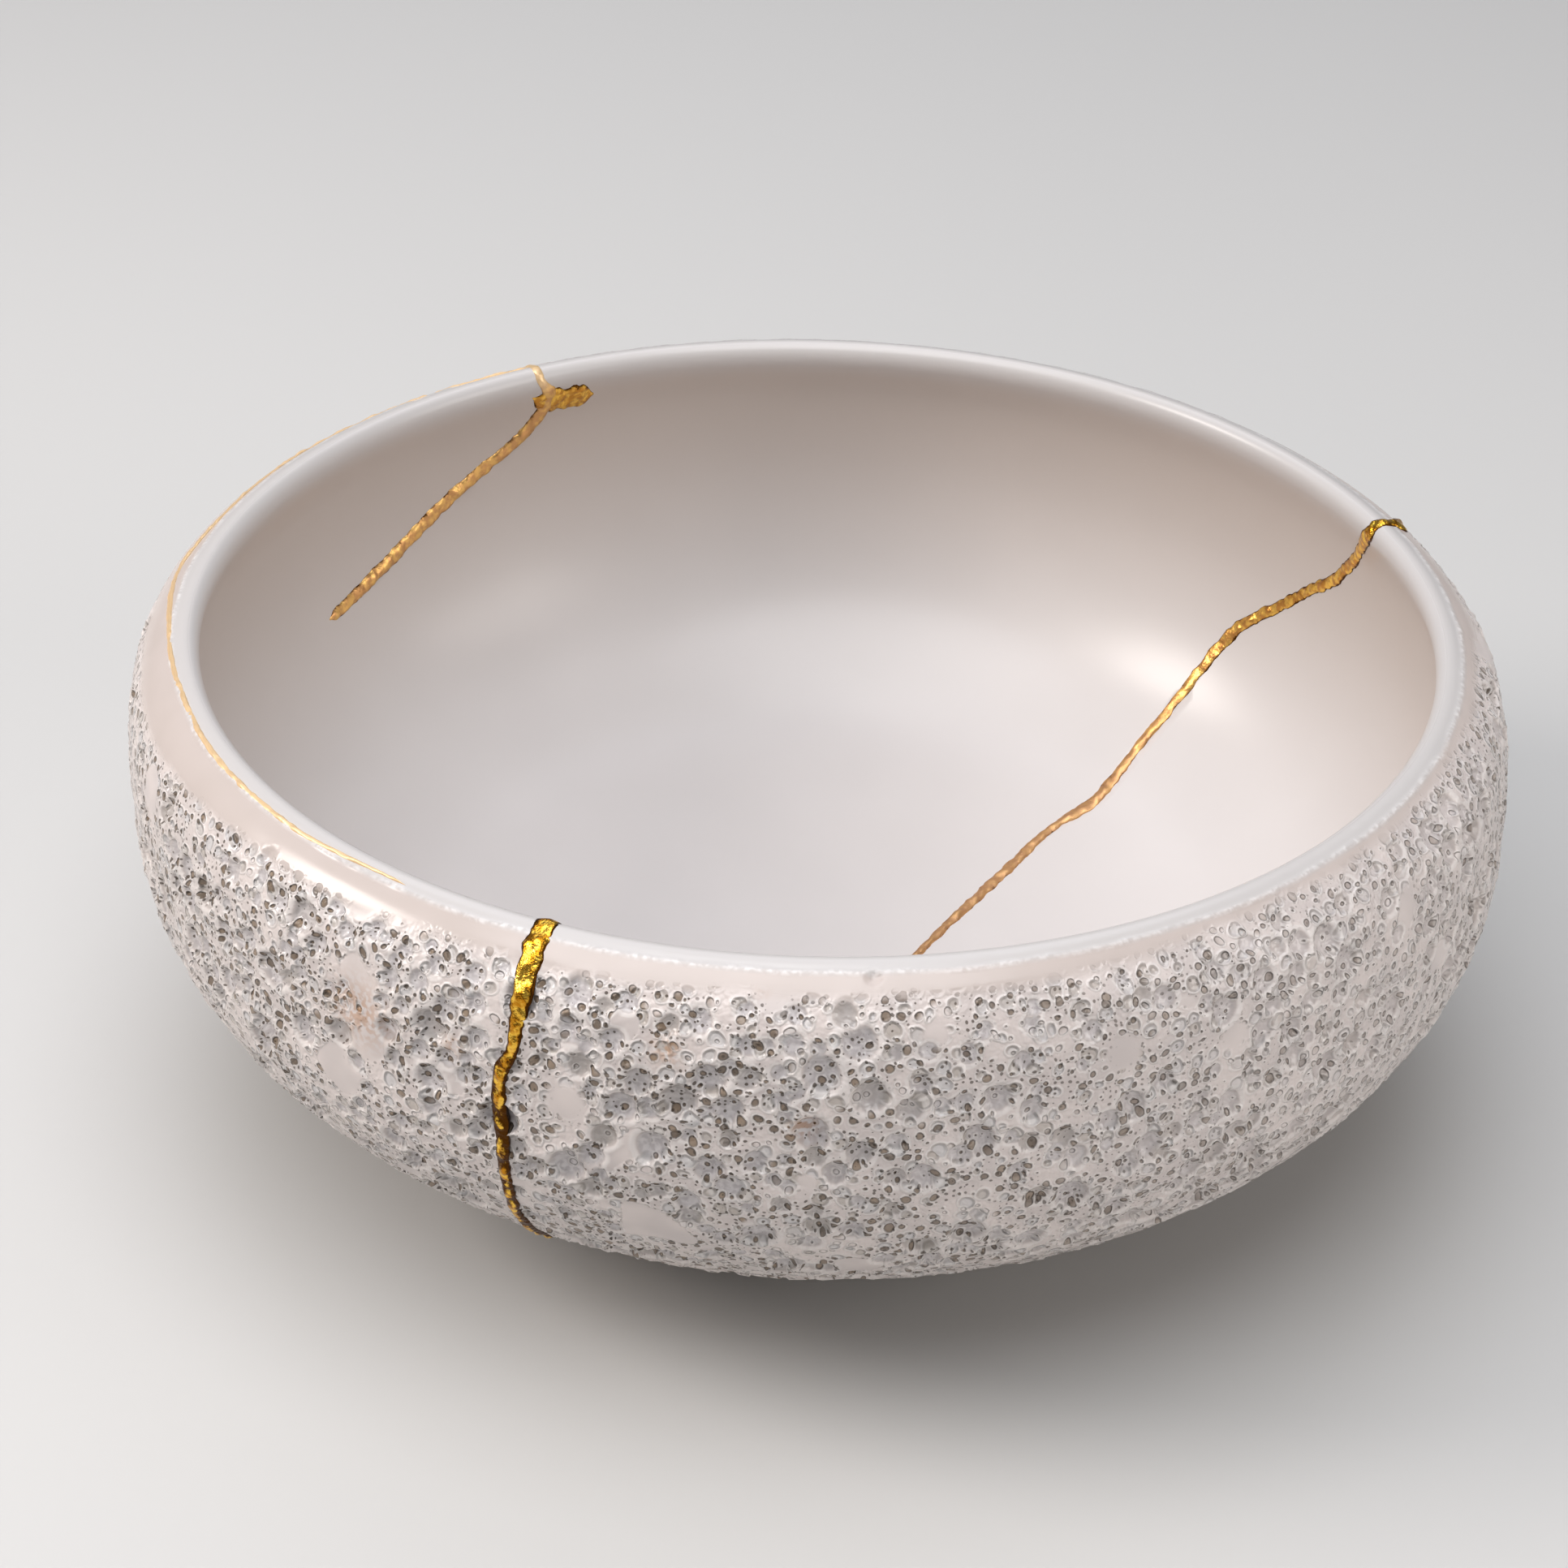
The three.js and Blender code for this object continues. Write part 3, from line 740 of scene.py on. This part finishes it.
def joint_skin(form, gold):
    """The joint's gold: one closed bead, up the outside at the front, over the lip, down the hollow
    and across its floor, over the lip at the back and under the base to its start."""
    section, split = Section(form), Break()
    lip = section.lip
    inside, outside = both_sides(section, split.line)
    outside = outside[::-1]
    start = np.argmin(outside[:, 0])
    front_lip, back_lip = bridge(outside[-1], inside[0]), bridge(inside[-1], outside[0])
    line = np.concatenate([outside[start:], front_lip, inside, back_lip, outside[:start + 1]])
    s, x, y, width = even_line(form, section, line, gold.step / MM)
    _, z = section.point(s)
    outer = smoothstep(lip + 2, lip - 2, s)
    centre, normal = on_skin(section, form, s, np.arctan2(y, x), 0.1 * outer)
    height = gold.proud / MM * (0.7 + 0.4 * outer)
    matt = 0.2 * smoothstep(lip + 2, lip + 8, s) + 0.65 * smoothstep(lip + 14, lip + 60, s)
    # Lower down the outside the gold is painted more rubbed and darker: partly wear, partly a painted dark
    # reflection.
    wear_and_shade = 0.15 + 0.5 * smoothstep(54, 38, z) * outer
    half_width = width / 2 * (1 - 0.15 * smoothstep(lip + 2, lip + 14, s))
    return bead(centre, normal, half_width, height, 0.7, matt, wear_and_shade, 0 * s, 41, closed=True)


def crack_skin(form, gold):
    """The back crack's gold: a bead up the hollow, over the lip and down the outside, the filled
    chip beside it on the lip's inner edge, and the hairline along the left shoulder's ridge. Each
    tapers to its ends, and the gold is paler and the bead narrower over the lip."""
    section = Section(form)
    inside, outside = both_sides(section, resampled(curve_through(on_map(BACK_CRACK), 2000), MAP_STEP))
    inside = inside[::-1]
    whole = np.concatenate([inside, bridge(inside[-1], outside[0]), outside])
    chip, _ = both_sides(section, curve_through(on_map(CHIP), 200))
    hair = curve_through(on_map(HAIRLINE), 2000)
    hair = np.column_stack([section.s_on_shoulder(np.hypot(hair[:, 0], hair[:, 1])), hair])
    skins, faces, count = [], [], 0
    for line, high, matt, wear_and_shade, faint, narrow, seed in (
        (whole, 0.8, 0.5, 0.12, 0.1, 0.35, 61),
        (chip, 0.9, 0.15, 0, 0, 0, 71),
        (hair, 0.45, 0.8, 0, 0.8, 0, 81),
    ):
        s, x, y, width = even_line(form, section, line, gold.step / MM)
        centre, normal = on_skin(section, form, s, np.arctan2(y, x), 0 * s)
        taper = smoothstep(-0.3, 1.5, lengths(centre))
        over = smoothstep(section.lip + 4, section.lip + 2, s)
        ends = np.minimum(taper, taper[::-1]) * (1 - narrow * over)
        height, pale = gold.proud / MM * high * ends, faint + (0.8 - faint) * over
        points, own, marks = bead(
            centre, normal, width / 2 * ends, height, 0.5, matt + 0 * s, wear_and_shade + 0 * s, pale, seed)
        skins.append((points, marks))
        faces.append(own + count)
        count += len(points)
    points, marks = merged(skins)
    return points, np.concatenate(faces), marks


# The Mix node has sockets of the same name for each kind of value, so its share, the two colours
# and the mixed colour go by number.
MIX_SHARE, MIX_UNDER, MIX_OVER, MIX_RESULT = 0, 6, 7, 2


def add_node(tree, kind, inputs=(), output=0, **settings):
    """Adds a shader node with its settings and gives one of its outputs, or the node if it has
    none. inputs maps a socket to a value or to another node's output."""
    made = tree.nodes.new("ShaderNode" + kind)
    for name, value in settings.items():
        setattr(made, name, value)
    for name, value in dict(inputs).items():
        if isinstance(value, bpy.types.NodeSocket):
            tree.links.new(value, made.inputs[name])
        else:
            made.inputs[name].default_value = value
    return made.outputs[output] if made.outputs else made


def worked_out(tree, *terms):
    """A sum of terms, each of them a list of factors to multiply. A factor is a number, a node's
    output, or (output, low, high) for the smoothstep of an output from low to high."""

    def combined(operation, values):
        return reduce(
            lambda one, other: add_node(tree, "Math", {0: one, 1: other}, operation=operation), values)

    products = []
    for factors in terms:
        ramped = []
        for factor in factors:
            if isinstance(factor, tuple):
                ends = dict(zip(("Value", "From Min", "From Max"), factor))
                factor = add_node(tree, "MapRange", ends, interpolation_type="SMOOTHSTEP")
            ramped.append(factor)
        products.append(combined("MULTIPLY", ramped))
    return combined("ADD", products)


def painted(tree, ground, *coats):
    """The colour of a ground under coats. A coat is a colour and then the factors of the share that
    it covers. A colour is an sRGB hex code, four linear values or a node's output."""
    for over, *factors in coats:
        under, over = (linear(colour) if isinstance(colour, str) else colour for colour in (ground, over))
        inputs = {MIX_SHARE: worked_out(tree, factors), MIX_UNDER: under, MIX_OVER: over}
        ground = add_node(tree, "Mix", inputs, MIX_RESULT, data_type="RGBA")
    return ground


def new_material(name):
    """An empty material and its node tree."""
    material = bpy.data.materials.new(name)
    material.use_nodes = True
    material.node_tree.nodes.clear()
    return material, material.node_tree


def burst_bubbles(tree, place, cell, least, most, share):
    """Round bubbles too small to model, one in each cell of a flat pattern or none. cell, least and
    most are the cell's size and the bubbles' radii in millimetres, and share is how many cells have
    one of such a radius. Gives the distance from a bubble's edge in millimetres, which is negative
    inside it, and a random number for each bubble."""
    inputs = {"Vector": place, "Scale": 1 / cell, "Randomness": 0.8}
    pattern = add_node(tree, "TexVoronoi", inputs, voronoi_dimensions="2D").node
    channels = add_node(tree, "SeparateColor", {"Color": pattern.outputs["Color"]}).node
    slope = (most - least) / share
    radius_at_zero = least - slope * (1 - share)
    gap = worked_out(
        tree, [pattern.outputs["Distance"], cell], [channels.outputs[0], -slope], [-radius_at_zero])
    return gap, channels.outputs[1]


def crater_glazed_stoneware(glaze):
    """Stoneware under two glazes. Over the lip a smooth gloss with a cool cast. Outside a crater glaze: satin
    plateaus of warm pinkish white, cups with pooled bluish glass that catch wet glints, pale raised rims that
    are partly a painted highlight, a painted shade on the craters' walls and just inside the pits' edges, and
    brown pits where bubbles burst to the clay."""
    material, tree = new_material("crater_glazed_stoneware")
    u, v, crater, tone, cratered, flat, lip, ridge, stain, lit_side, bare = (
        add_node(tree, "Attribute", output="Fac", attribute_name=mark)
        for mark in (
            "u", "v", "crater", "tone", "cratered", "plateau", "lip", "ridge", "stain", "lit_side", "bare")
    )
    object_place = add_node(tree, "TexCoord", output="Object")
    place = add_node(tree, "CombineXYZ", {"X": u, "Y": v})
    patch_size, fine_size = 5 * MM, 0.7
    patches = add_node(tree, "TexNoise", {"Vector": object_place, "Scale": 1 / patch_size, "Detail": 1.0})
    fine = add_node(
        tree, "TexNoise", {"Vector": place, "Scale": 1 / fine_size, "Detail": 1.0}, noise_dimensions="2D")
    # Painted light: strong is 1 less the lit side's mark, so pools, cups, pits and pinholes are painted paler
    # on the front right.
    strong = worked_out(tree, [1.0], [lit_side, -1.0])

    # Where the glaze boiled: everywhere in the cratered zone except on its plateaus.
    boiled = worked_out(tree, [cratered, (flat, 0.75, 0.35)])
    # The modelled craters: their pool, their rim and the wall between, where a darker ring is painted shade.
    # The mark `crater` is 1 in a crater's middle, 0 at its edge and less than 0 outside it.
    pool = worked_out(tree, [(crater, 0.0, 0.3), cratered])
    rim = worked_out(tree, [(crater, -0.4, -0.14), (crater, 0.1, -0.03), cratered])
    wall = worked_out(tree, [(crater, 0.0, 0.12), (crater, 0.42, 0.15), cratered])

    # The small bubbles: cups, brown pits and pinholes, by the distance from their edges.
    cup_gap, cup_tone = burst_bubbles(tree, place, 2.3, 0.45, 0.85, 0.8)
    pit_gap, pit_tone = burst_bubbles(tree, place, 1.5, 0.18, 0.48, 0.75)
    pin_gap, _ = burst_bubbles(tree, place, 0.68, 0.07, 0.19, 0.6)
    off_pool = worked_out(tree, [boiled, (crater, 0.5, 0.1)])
    cup = worked_out(tree, [(cup_gap, 0.06, -0.2), off_pool])
    cup_rim = worked_out(tree, [(cup_gap, 0.34, 0.1), (cup_gap, -0.06, 0.06), off_pool])
    pit = worked_out(tree, [(pit_gap, 0.05, -0.12), boiled, (patches, 0.36, 0.46)])
    pit_rim = worked_out(tree, [(pit_gap, 0.3, 0.08), (pit_gap, -0.05, 0.05), boiled])
    pin = worked_out(tree, [(pin_gap, 0.03, -0.04), cratered, (flat, 0.9, 0.5), (patches, 0.38, 0.5)])
    # The pale rims of craters and cups: partly the glaze's own paler colour, partly a painted highlight.
    pale_rim_and_highlight = add_node(tree, "Math", {0: rim, 1: cup_rim}, operation="MAXIMUM")

    # Colour outside: warm ground, cool mottled pools, painted shade on the crater walls, pale rims that are
    # partly painted highlight, then the brown pits with painted shade inside their edges, the pinholes and
    # stains.
    ground = painted(tree, (*glaze.outer_colour, 1.0), ("#CBC1BD", (patches, 0.35, 0.65)))
    cool = painted(tree, "#D0CBCB", ("#B3ADAE", (fine, 0.35, 0.65)), ("#A9A095", (tone, 0.65, 0.95), 0.6))
    small = painted(tree, "#C6C4C4", ("#ABA298", (cup_tone, 0.35, 0.8)))
    brown = painted(tree, "#8F7A64", ("#5F4F3E", pit_tone))
    outer = painted(
        tree, ground,
        (cool, pool, strong, 0.8),
        (small, cup, strong, 0.7),
        # Painted shade: a darker ring on the craters' walls.
        ("#77716B", wall, 0.22),
        # Painted highlight, together with the glaze's own paleness, on the rims of craters, cups and pits.
        ("#EAE5E1", pale_rim_and_highlight, 0.45),
        ("#E6DFDA", pit_rim, 0.5),
        (brown, pit, strong, 0.92),
        # Painted shade just inside the pits' edges.
        ("#4A4036", pit, (pit_gap, -0.22, -0.06), 0.4),
        ("#4A3E33", pin, strong, 0.9),
        ("#B07A45", stain, (fine, 0.35, 0.6), 0.6),
    )

    # Colour of the smooth band, the lip and the ridge's sparkle, a painted highlight, and of the bare clay of
    # the foot.
    smooth = painted(tree, "#C7BBB5", ("#BEB2AB", patches))
    clay = painted(tree, "#BBA791", ("#A38E78", fine))
    colour = painted(
        tree, smooth,
        ((*glaze.lip_colour, 1.0), lip),
        # Painted highlight: a bright sparkle along the ridge.
        ("#F6F4F3", ridge, (fine, 0.3, 0.7), 0.4),
        (outer, cratered),
        (clay, bare),
    )

    # Pools are wet and glossy, the ground between them satin, and the clay dull.
    wet = add_node(tree, "Math", {0: pool, 1: cup}, operation="MAXIMUM")
    roughness = worked_out(tree, [0.22], [cratered, 0.1], [wet, -0.18], [bare, 0.5])

    # The small bubbles' relief in millimetres, and the unevenness of the boiled glaze.
    relief = worked_out(
        tree, [(cup_gap, 0.03, -0.3), off_pool, -0.22], [cup_rim, 0.07],
        [(pit_gap, 0.05, -0.12), boiled, -0.2], [pit_rim, 0.06], [fine, boiled, 0.12],
    )
    bump = add_node(tree, "Bump", {"Height": relief, "Distance": MM, "Strength": 1.0})
    shader = add_node(tree, "BsdfPrincipled", {
        "Base Color": colour, "Roughness": roughness, "IOR": 1.5, "Normal": bump,
    })
    add_node(tree, "OutputMaterial", {"Surface": shader})
    return material


def smooth_glazed_stoneware(glaze):
    """The same stoneware inside the bowl: a smooth glaze, nearly white, that gives soft wide highlights. Its
    colour is painted darker and browner high on the wall as painted shade, and it has a cool cast at the lip."""
    material, tree = new_material("smooth_glazed_stoneware")
    patch_size, shaded_from, shaded_to = 14 * MM, 14 * MM, 56 * MM
    place = add_node(tree, "TexCoord", output="Object")
    patches = add_node(tree, "TexNoise", {"Vector": place, "Scale": 1 / patch_size, "Detail": 1.0})
    height = add_node(tree, "SeparateXYZ", {"Vector": place}, "Z")
    lip = add_node(tree, "Attribute", output="Fac", attribute_name="lip")
    colour = painted(
        tree, (*glaze.inner_colour, 1.0),
        ("#CBC6C4", patches),
        # Painted shade: darker and browner from 14 mm up to 56 mm high on the inner wall.
        ("#B6A79B", (height, shaded_from, shaded_to), 0.78),
        ((*glaze.lip_colour, 1.0), lip),
    )
    shader = add_node(tree, "BsdfPrincipled", {"Base Color": colour, "Roughness": 0.31, "IOR": 1.5})
    add_node(tree, "OutputMaterial", {"Surface": shader})
    return material


def gold_dusted_lacquer(gold):
    """Gold dust on lacquer, laid by brush. Outside and on the lip it is bright and polished, with brown
    lacquer in its hollows, painted darker along its edges and in its dents as shade. Inside it is duller and
    redder, and a hairline is paler. Its grain is in the bump, drawn at 0.2 mm, coarser than the dust."""
    material, tree = new_material("gold_dusted_lacquer")
    place = add_node(tree, "TexCoord", output="Object")
    thin_and_shade, matt, pale = (
        add_node(tree, "Attribute", output="Fac", attribute_name=mark) for mark in ("thin_and_shade", "matt", "pale"))
    patches, grain = (
        add_node(tree, "TexNoise", {"Vector": place, "Scale": 1 / size, "Detail": detail})
        for size, detail in ((0.9 * MM, 3.0), (0.22 * MM, 2.0))
    )
    dusted = worked_out(tree, [thin_and_shade], [patches], [grain, 0.5])
    # The share of brown lacquer: partly wear, partly painted shade in the dents and along the edges.
    lacquer = worked_out(tree, [(dusted, 1.05, 1.35)])
    colour = painted(
        tree, (*gold.colour, 1.0),
        ("#C4841E", (patches, 0.38, 0.6)),
        ("#CDA078", matt),
        ("#F2D2A4", pale),
        ("#4E2D08", lacquer),
    )
    roughness = worked_out(tree, [0.26], [matt, 0.22], [lacquer, 0.1])
    metal = worked_out(tree, [1.0], [pale, -0.7])
    unpolished = worked_out(tree, [0.35], [matt, -0.45])
    lumps = worked_out(tree, [grain, 0.04], [patches, unpolished])
    bump = add_node(tree, "Bump", {"Height": lumps, "Distance": MM, "Strength": 0.8})
    shader = add_node(tree, "BsdfPrincipled", {
        "Base Color": colour, "Metallic": metal, "Roughness": roughness, "Normal": bump,
    })
    add_node(tree, "OutputMaterial", {"Surface": shader})
    return material


def plain_paper():
    """Matt pale paper that the bowl stands on."""
    material, tree = new_material("plain_paper")
    shader = add_node(tree, "BsdfPrincipled", {"Base Color": linear("#C9C8C6"), "Roughness": 0.9})
    add_node(tree, "OutputMaterial", {"Surface": shader})
    return material


class BowlForm(bpy.types.PropertyGroup):
    belly_radius: FloatProperty(
        name="Belly radius", description="Radius at the widest part", default=0.075, unit="LENGTH")
    belly_height: FloatProperty(
        name="Belly height", description="Height of the widest part", default=0.0388, unit="LENGTH")
    belly_drop: FloatProperty(
        name="Belly drop", description="From the widest part down to where its curve would close",
        default=0.0411, unit="LENGTH")
    rim_height: FloatProperty(
        name="Rim height", description="Height of the lip", default=0.0584, unit="LENGTH")
    lean: FloatProperty(
        name="Lean", description="How far the rim sits to one side of the foot",
        default=-0.00175, unit="LENGTH")
    soft_edge: FloatProperty(
        name="Soft edge", description="How far the corners of the foot are softened",
        default=0.0005, unit="LENGTH")


class BowlGlaze(bpy.types.PropertyGroup):
    craters: IntProperty(
        name="Craters", description="How many craters are tried over the outside", default=4200, min=0)
    crater_small: FloatProperty(
        name="Smallest crater", description="Radius of the smallest modelled crater",
        default=0.0008, unit="LENGTH")
    crater_large: FloatProperty(
        name="Largest crater", description="Radius of the largest crater", default=0.0021, unit="LENGTH")
    crater_depth: FloatProperty(
        name="Crater depth", description="Depth of a crater as a share of its radius", default=0.42)
    spread: FloatProperty(
        name="Spread", description="Least distance of two craters as a share of their radii's sum",
        default=0.78)
    band: FloatProperty(
        name="Smooth band", description="Height of the smooth band under the rim",
        default=0.0019, unit="LENGTH")
    grid: FloatProperty(
        name="Grid", description="Spacing of the mesh on the crater glaze", default=0.00049, unit="LENGTH")
    outer_colour: FloatVectorProperty(
        name="Crater glaze", description="Colour of the crater glaze between its bubbles",
        default=linear("#D8CDC8")[:3], subtype="COLOR", min=0, max=1)
    inner_colour: FloatVectorProperty(
        name="Inner glaze", description="Colour of the smooth glaze on the floor of the bowl",
        default=linear("#D1CCCA")[:3], subtype="COLOR", min=0, max=1)
    lip_colour: FloatVectorProperty(
        name="Lip glaze", description="Colour of the smooth glaze over the lip",
        default=linear("#C4C0BE")[:3], subtype="COLOR", min=0, max=1)


class BowlGold(bpy.types.PropertyGroup):
    proud: FloatProperty(
        name="Proud", description="How far the gold stands over the glaze", default=0.00035, unit="LENGTH")
    gap: FloatProperty(
        name="Gap", description="Gap between the shards, filled with lacquer", default=0.0005, unit="LENGTH")
    step: FloatProperty(
        name="Step", description="Spacing of the sections of a gold line", default=0.00025, unit="LENGTH")
    colour: FloatVectorProperty(
        name="Gold", description="Colour of the polished gold",
        default=linear("#FBCA50")[:3], subtype="COLOR", min=0, max=1)


class BowlStage(bpy.types.PropertyGroup):
    lens: FloatProperty(
        name="Lens", description="Focal length on a 36 mm sensor, in millimetres", default=83.85)
    distance: FloatProperty(
        name="Distance", description="From the camera to the point it circles", default=0.4105, unit="LENGTH")
    elevation: FloatProperty(
        name="Elevation", description="Angle of the camera above the horizon",
        default=np.radians(32.41), unit="ROTATION")
    roll: FloatProperty(
        name="Roll", description="How far the camera is turned about its own axis",
        default=np.radians(1.33), unit="ROTATION")
    pan: FloatProperty(
        name="Pan", description="How far it looks aside", default=np.radians(-0.82), unit="ROTATION")
    tilt: FloatProperty(
        name="Tilt", description="How much further down it looks", default=np.radians(-0.77), unit="ROTATION")
    target_height: FloatProperty(
        name="Target height", description="Height of the point it circles", default=0.029, unit="LENGTH")


class BOWL_OT_shards(bpy.types.Operator):
    """Makes the two shards with their crater glaze"""
    bl_idname = "bowl.make_shards"
    bl_label = "Shards"

    def execute(self, context):
        form, glaze, gold = context.scene.bowl_form, context.scene.bowl_glaze, context.scene.bowl_gold
        split = Break()
        rho, angle, side = split.front
        front_before = (rho, angle - 2 * np.pi, side)
        materials = [crater_glazed_stoneware(glaze), smooth_glazed_stoneware(glaze)]
        for node, start, stop, away in (
            ("left_shard", split.back, split.front, -1),
            ("right_shard", front_before, split.back, 1),
        ):
            skin = shard_skin(form, glaze, gold.gap / MM, start, stop, away)
            add_piece(node + "_glazed", skin, materials, node)
        return {"FINISHED"}


class BOWL_OT_gold(bpy.types.Operator):
    """Makes the gold of the joint and of the back crack"""
    bl_idname = "bowl.make_gold"
    bl_label = "Gold"

    def execute(self, context):
        form, gold = context.scene.bowl_form, context.scene.bowl_gold
        material = gold_dusted_lacquer(gold)
        for node, make_skin in (("gold_joint", joint_skin), ("gold_back_crack", crack_skin)):
            add_piece(node + "_bead", make_skin(form, gold), [material], node)
        return {"FINISHED"}


class BOWL_OT_stage(bpy.types.Operator):
    """Makes the floor, the lights and the camera"""
    bl_idname = "bowl.make_stage"
    bl_label = "Stage"

    def execute(self, context):
        make_floor()
        make_lights(context)
        make_camera(context)
        context.scene.view_settings.view_transform = "Standard"
        context.scene.cycles.max_bounces = 5
        context.scene.cycles.diffuse_bounces = 3
        return {"FINISHED"}


def make_floor():
    """A flat square of paper with its top face up."""
    corners = np.array([[-1, -1, 0], [1, -1, 0], [1, 1, 0], [-1, 1, 0]]) * FLOOR_HALF_WIDTH
    floor = make_mesh("floor", corners, np.array([[0, 1, 2], [0, 2, 3]]), {})
    floor.data.materials.append(plain_paper())


def make_lights(context):
    """Round soft lamps, each aimed at the bowl: the small key at the left, a wide one behind, one
    overhead towards the front, and one low at the right that fills in. The world adds a little."""
    world = bpy.data.worlds.new("studio")
    world.use_nodes = True
    background = world.node_tree.nodes["Background"]
    background.inputs["Color"].default_value = linear("#EBEDF0")
    background.inputs["Strength"].default_value = 0.2
    context.scene.world = world
    for name, azimuth, height, distance, size, power, colour in LAMPS:
        lamp = bpy.data.lights.new(name, "AREA")
        lamp.shape = "DISK"
        lamp.size = size
        lamp.energy = power
        lamp.color = linear(colour)[:3]
        held = bpy.data.objects.new(name, lamp)
        turn, lift = np.radians(azimuth), np.radians(height)
        aim = np.array([np.cos(turn) * np.cos(lift), np.sin(turn) * np.cos(lift), np.sin(lift)])
        aside = np.array([-np.sin(turn), np.cos(turn), 0])
        held.matrix_world = framed(aside, np.cross(aim, aside), aim, aim * distance)
        context.scene.collection.objects.link(held)


def framed(x, y, z, at):
    """The matrix whose columns are three axes and a place."""
    rows = np.eye(4)
    rows[:3] = np.stack([x, y, z, at], axis=1)
    return Matrix(rows.tolist())


def make_camera(context):
    """The camera circles the bowl at the photograph's elevation, then is turned a little about its own three
    axes. Its sensor is 36 mm wide."""
    form, stage = context.scene.bowl_form, context.scene.bowl_stage
    up_by, down = stage.elevation, stage.elevation + stage.tilt
    middle = np.array([-form.lean * form.belly_height / form.rim_height, 0, stage.target_height])
    at = middle + stage.distance * np.array([0, -np.cos(up_by), np.sin(up_by)])
    ahead = np.array([np.sin(stage.pan) * np.cos(down), np.cos(stage.pan) * np.cos(down), -np.sin(down)])
    right = np.array([np.cos(stage.pan), -np.sin(stage.pan), 0])
    up = np.cross(right, ahead)
    turned_right = right * np.cos(stage.roll) + up * np.sin(stage.roll)
    turned_up = up * np.cos(stage.roll) - right * np.sin(stage.roll)
    camera = bpy.data.cameras.new("camera")
    camera.lens = stage.lens
    camera.sensor_width = 36
    camera.clip_start = 0.01
    held = bpy.data.objects.new("camera", camera)
    held.matrix_world = framed(turned_right, turned_up, -ahead, at)
    context.scene.collection.objects.link(held)
    context.scene.camera = held


class BOWL_PT_panel(bpy.types.Panel):
    """The bowl's sizes and the buttons that make its pieces"""
    bl_idname = "BOWL_PT_panel"
    bl_label = "Kintsugi bowl"
    bl_space_type = "VIEW_3D"
    bl_region_type = "UI"
    bl_category = "Bowl"

    def draw(self, context):
        for group in GROUPS:
            values = getattr(context.scene, group)
            for name in values.__annotations__:
                self.layout.prop(values, name)
        for operator in OPERATORS:
            self.layout.operator(operator.bl_idname)


GROUPS = {"bowl_form": BowlForm, "bowl_glaze": BowlGlaze, "bowl_gold": BowlGold, "bowl_stage": BowlStage}
OPERATORS = (BOWL_OT_shards, BOWL_OT_gold, BOWL_OT_stage)
CLASSES = (*GROUPS.values(), *OPERATORS, BOWL_PT_panel)


def register():
    for made in CLASSES:
        bpy.utils.register_class(made)
    for name, group in GROUPS.items():
        setattr(bpy.types.Scene, name, PointerProperty(type=group))


def unregister():
    for name in GROUPS:
        delattr(bpy.types.Scene, name)
    for made in reversed(CLASSES):
        bpy.utils.unregister_class(made)


def main():
    register()
    bpy.ops.bowl.make_shards()
    bpy.ops.bowl.make_gold()
    bpy.ops.bowl.make_stage()
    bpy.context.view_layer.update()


if __name__ == "__main__":
    main()
